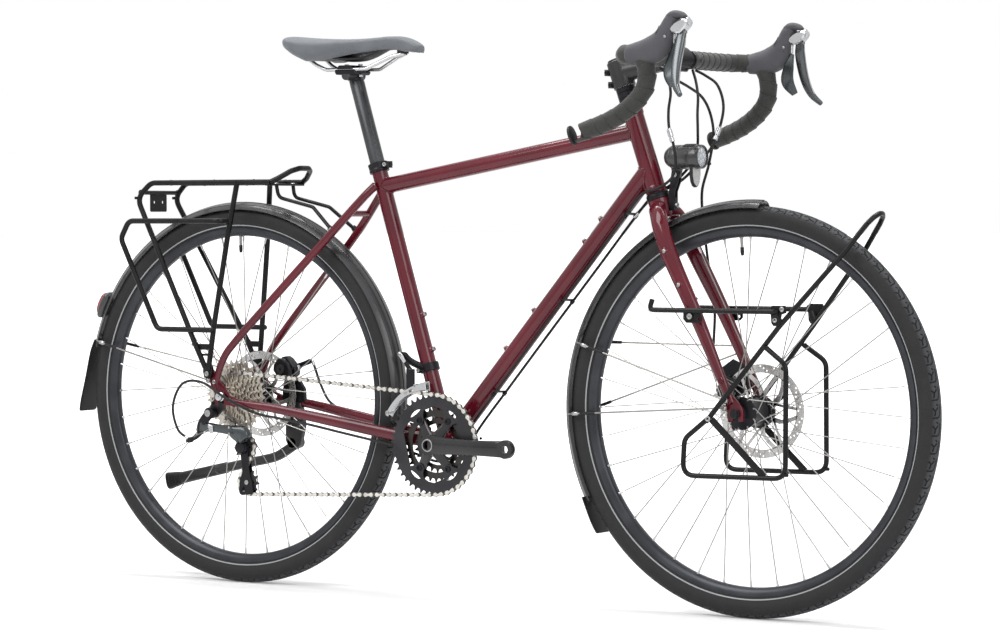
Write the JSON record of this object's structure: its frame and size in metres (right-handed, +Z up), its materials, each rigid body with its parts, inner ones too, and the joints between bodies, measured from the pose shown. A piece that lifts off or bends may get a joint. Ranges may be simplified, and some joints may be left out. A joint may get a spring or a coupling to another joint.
{
  "type": "touring bicycle",
  "caption": "Diamond-frame touring bicycle with drop bar, triple crank, derailleurs, disc brakes, full mudguards, lights, kickstand and front and rear luggage racks.",
  "frame": {"origin": "on the ground, midway along the overall length and width; the tyres stand on Z = 0", "axes": "+X forward, +Y to the rider's left, +Z up"},
  "size_m": [1.7874, 0.5186, 1.0148],
  "materials": {
    "frame_paint": "gloss",
    "black_paint": "satin",
    "guard_plastic": "satin",
    "black_alloy": "anodised satin",
    "silver_alloy": "polished",
    "steel": "satin",
    "pulley_plastic": "matte",
    "rim_alloy": "anodised satin",
    "tyre_rubber": "matte",
    "cable_housing": "matte",
    "bar_tape": "matte",
    "hood_rubber": "matte",
    "saddle_cover": "matte",
    "red_lens": "gloss"
  },
  "bodies": {
    "frame": {"head_tube": "frame_paint", "top_tube": "frame_paint", "down_tube": "frame_paint", "seat_tube": "frame_paint", "rear_triangle": "frame_paint", "seat_collar": "black_alloy", "seatpost": "black_alloy", "saddle_rails": "silver_alloy", "saddle": "saddle_cover", "rear_rack": "black_paint", "rear_mudguard": "guard_plastic", "rear_light": "red_lens", "rear_caliper": "black_alloy", "kickstand_mount": "black_paint", "front_derailleur_clamp": "black_alloy", "cables": "cable_housing", "chain": "steel"},
    "rear_brake_arm": {"rear_caliper_arm": "black_alloy"},
    "kickstand": {"kickstand_leg": "black_paint"},
    "shifter_link": {"front_derailleur_link": "silver_alloy"},
    "shifter_cage": {"front_derailleur_cage": "silver_alloy"},
    "derailleur_knuckle": {"hanger_knuckle": "black_alloy"},
    "derailleur_outer_link": {"outer_link": "silver_alloy"},
    "derailleur_inner_link": {"inner_link": "black_alloy"},
    "derailleur_body": {"cage_knuckle": "black_alloy"},
    "pulley_cage": {"derailleur_cage": "black_alloy"},
    "guide_wheel": {"guide_pulley": "pulley_plastic"},
    "tension_wheel": {"tension_pulley": "pulley_plastic"},
    "rear_wheel": {"rear_hub": "black_alloy", "rear_rim": "rim_alloy", "rear_tyre": "tyre_rubber", "rear_rotor": "steel"},
    "cassette": {"cassette": "steel"},
    "crank": {"crank_arm_right": "black_alloy", "crank_arm_left": "black_alloy", "chainring_outer": "black_alloy", "chainring_middle": "steel", "chainring_inner": "steel"},
    "steering": {"fork": "frame_paint", "stem": "black_alloy", "handlebar": "bar_tape", "hood_right": "hood_rubber", "hood_left": "hood_rubber", "headlamp_bracket": "black_alloy", "front_rack": "black_paint", "front_mudguard": "guard_plastic", "front_caliper": "black_alloy", "front_brake_cable": "cable_housing"},
    "lamp": {"headlamp": "black_paint"},
    "front_wheel": {"front_hub": "black_alloy", "front_rim": "rim_alloy", "front_tyre": "tyre_rubber", "front_rotor": "steel"},
    "front_brake_arm": {"front_caliper_arm": "black_alloy"},
    "lever_right": {"lever_carrier_right": "silver_alloy"},
    "lever_left": {"lever_carrier_left": "silver_alloy"},
    "blade_right": {"lever_blade_right": "silver_alloy"},
    "blade_left": {"lever_blade_left": "silver_alloy"},
    "paddle_right": {"paddle_right": "black_alloy"},
    "paddle_left": {"paddle_left": "black_alloy"}
  },
  "joints": [
    {"name": "steering", "type": "hinge", "parent": "frame", "child": "steering", "pos_m": [0.36323, 0, 0.72], "axis": [-0.3256, 0, 0.9455], "range_deg": [-60, 60], "deforming": ["cables"]},
    {"name": "front_wheel_spin", "type": "hinge", "parent": "steering", "child": "front_wheel", "pos_m": [0.54473, 0, 0.349], "axis": [0, 1, 0], "continuous": true},
    {"name": "rear_wheel_spin", "type": "hinge", "parent": "frame", "child": "rear_wheel", "pos_m": [-0.51727, 0, 0.349], "axis": [0, 1, 0], "continuous": true},
    {"name": "crank_spin", "type": "hinge", "parent": "frame", "child": "crank", "pos_m": [-0.06377, 0, 0.2753], "axis": [0, 1, 0], "continuous": true, "deforming": ["chain"]},
    {"name": "cassette_spin", "type": "hinge", "parent": "frame", "child": "cassette", "pos_m": [-0.51727, 0, 0.349], "axis": [0, 1, 0], "continuous": true},
    {"name": "lever_pull_right", "type": "hinge", "parent": "steering", "child": "lever_right", "pos_m": [0.50473, -0.211, 0.973], "axis": [0, 1, 0], "range_deg": [0, 10.5]},
    {"name": "lever_pull_left", "type": "hinge", "parent": "steering", "child": "lever_left", "pos_m": [0.50473, 0.211, 0.973], "axis": [0, 1, 0], "range_deg": [0, 10.5]},
    {"name": "blade_swing_right", "type": "hinge", "parent": "lever_right", "child": "blade_right", "pos_m": [0.52973, -0.2115, 0.984], "axis": [1, 0, 0], "range_deg": [0, 10]},
    {"name": "blade_swing_left", "type": "hinge", "parent": "lever_left", "child": "blade_left", "pos_m": [0.52973, 0.2115, 0.984], "axis": [1, 0, 0], "range_deg": [-10, 0]},
    {"name": "paddle_swing_right", "type": "hinge", "parent": "lever_right", "child": "paddle_right", "pos_m": [0.51373, -0.21, 0.9625], "axis": [1, 0, 0], "range_deg": [0, 8]},
    {"name": "paddle_swing_left", "type": "hinge", "parent": "lever_left", "child": "paddle_left", "pos_m": [0.51373, 0.21, 0.9625], "axis": [1, 0, 0], "range_deg": [-8, 0]},
    {"name": "front_brake_arm_pull", "type": "hinge", "parent": "steering", "child": "front_brake_arm", "pos_m": [0.48301, 0.0653, 0.38608], "axis": [0, 1, 0], "range_deg": [0, 15], "deforming": ["front_brake_cable"]},
    {"name": "rear_brake_arm_pull", "type": "hinge", "parent": "frame", "child": "rear_brake_arm", "pos_m": [-0.46293, 0.078, 0.39624], "axis": [0, 1, 0], "range_deg": [0, 15], "deforming": ["cables"]},
    {"name": "shifter_link_swing", "type": "hinge", "parent": "frame", "child": "shifter_link", "pos_m": [-0.14577, -0.0335, 0.4333], "axis": [0.7863, 0, 0.6178], "range_deg": [-5, 5], "deforming": ["chain", "cables"]},
    {"name": "shifter_cage_swing", "type": "hinge", "parent": "shifter_link", "child": "shifter_cage", "pos_m": [-0.12377, -0.0335, 0.4053], "axis": [0.7863, 0, 0.6178], "range_deg": [-5, 5], "deforming": ["chain", "cables"]},
    {"name": "derailleur_hanger_pivot", "type": "hinge", "parent": "frame", "child": "derailleur_knuckle", "pos_m": [-0.53527, -0.08, 0.319], "axis": [0, 1, 0], "range_deg": [-12, 2], "deforming": ["chain", "cables"]},
    {"name": "derailleur_outer_swing", "type": "hinge", "parent": "derailleur_knuckle", "child": "derailleur_outer_link", "pos_m": [-0.55127, -0.088, 0.293], "axis": [0, 0, 1], "range_deg": [-5, 5], "deforming": ["chain", "cables"]},
    {"name": "derailleur_inner_swing", "type": "hinge", "parent": "derailleur_knuckle", "child": "derailleur_inner_link", "pos_m": [-0.54727, -0.0745, 0.293], "axis": [0, 0, 1], "range_deg": [-5, 5], "deforming": ["chain", "cables"]},
    {"name": "derailleur_body_swing", "type": "hinge", "parent": "derailleur_outer_link", "child": "derailleur_body", "pos_m": [-0.50127, -0.066, 0.287], "axis": [0, 0, 1], "range_deg": [-5, 5], "deforming": ["chain", "cables"]},
    {"name": "pulley_cage_pivot", "type": "hinge", "parent": "derailleur_body", "child": "pulley_cage", "pos_m": [-0.48827, -0.0388, 0.255], "axis": [0, 1, 0], "range_deg": [-25, 10], "deforming": ["chain"]},
    {"name": "guide_wheel_spin", "type": "hinge", "parent": "pulley_cage", "child": "guide_wheel", "pos_m": [-0.48827, -0.0388, 0.255], "axis": [0, 1, 0], "continuous": true},
    {"name": "tension_wheel_spin", "type": "hinge", "parent": "pulley_cage", "child": "tension_wheel", "pos_m": [-0.4803, -0.0388, 0.19049], "axis": [0, 1, 0], "continuous": true},
    {"name": "kickstand_swing", "type": "hinge", "parent": "frame", "child": "kickstand", "pos_m": [-0.45327, 0.078, 0.258], "axis": [0, 1, 0], "range_deg": [-38, 0]},
    {"name": "lamp_tilt", "type": "hinge", "parent": "steering", "child": "lamp", "pos_m": [0.40173, 0, 0.751], "axis": [0, 1, 0], "range_deg": [-8, 8]}
  ],
  "couplings": [
    {"joint": "cassette_spin", "follows": "crank_spin", "ratio": 2},
    {"joint": "guide_wheel_spin", "follows": "crank_spin", "ratio": -4},
    {"joint": "tension_wheel_spin", "follows": "crank_spin", "ratio": 4},
    {"joint": "front_brake_arm_pull", "follows": "lever_pull_right", "ratio": 1.4},
    {"joint": "rear_brake_arm_pull", "follows": "lever_pull_left", "ratio": 1.4},
    {"joint": "shifter_cage_swing", "follows": "shifter_link_swing", "ratio": -1},
    {"joint": "derailleur_inner_swing", "follows": "derailleur_outer_swing", "ratio": 1},
    {"joint": "derailleur_body_swing", "follows": "derailleur_outer_swing", "ratio": -1}
  ]
}
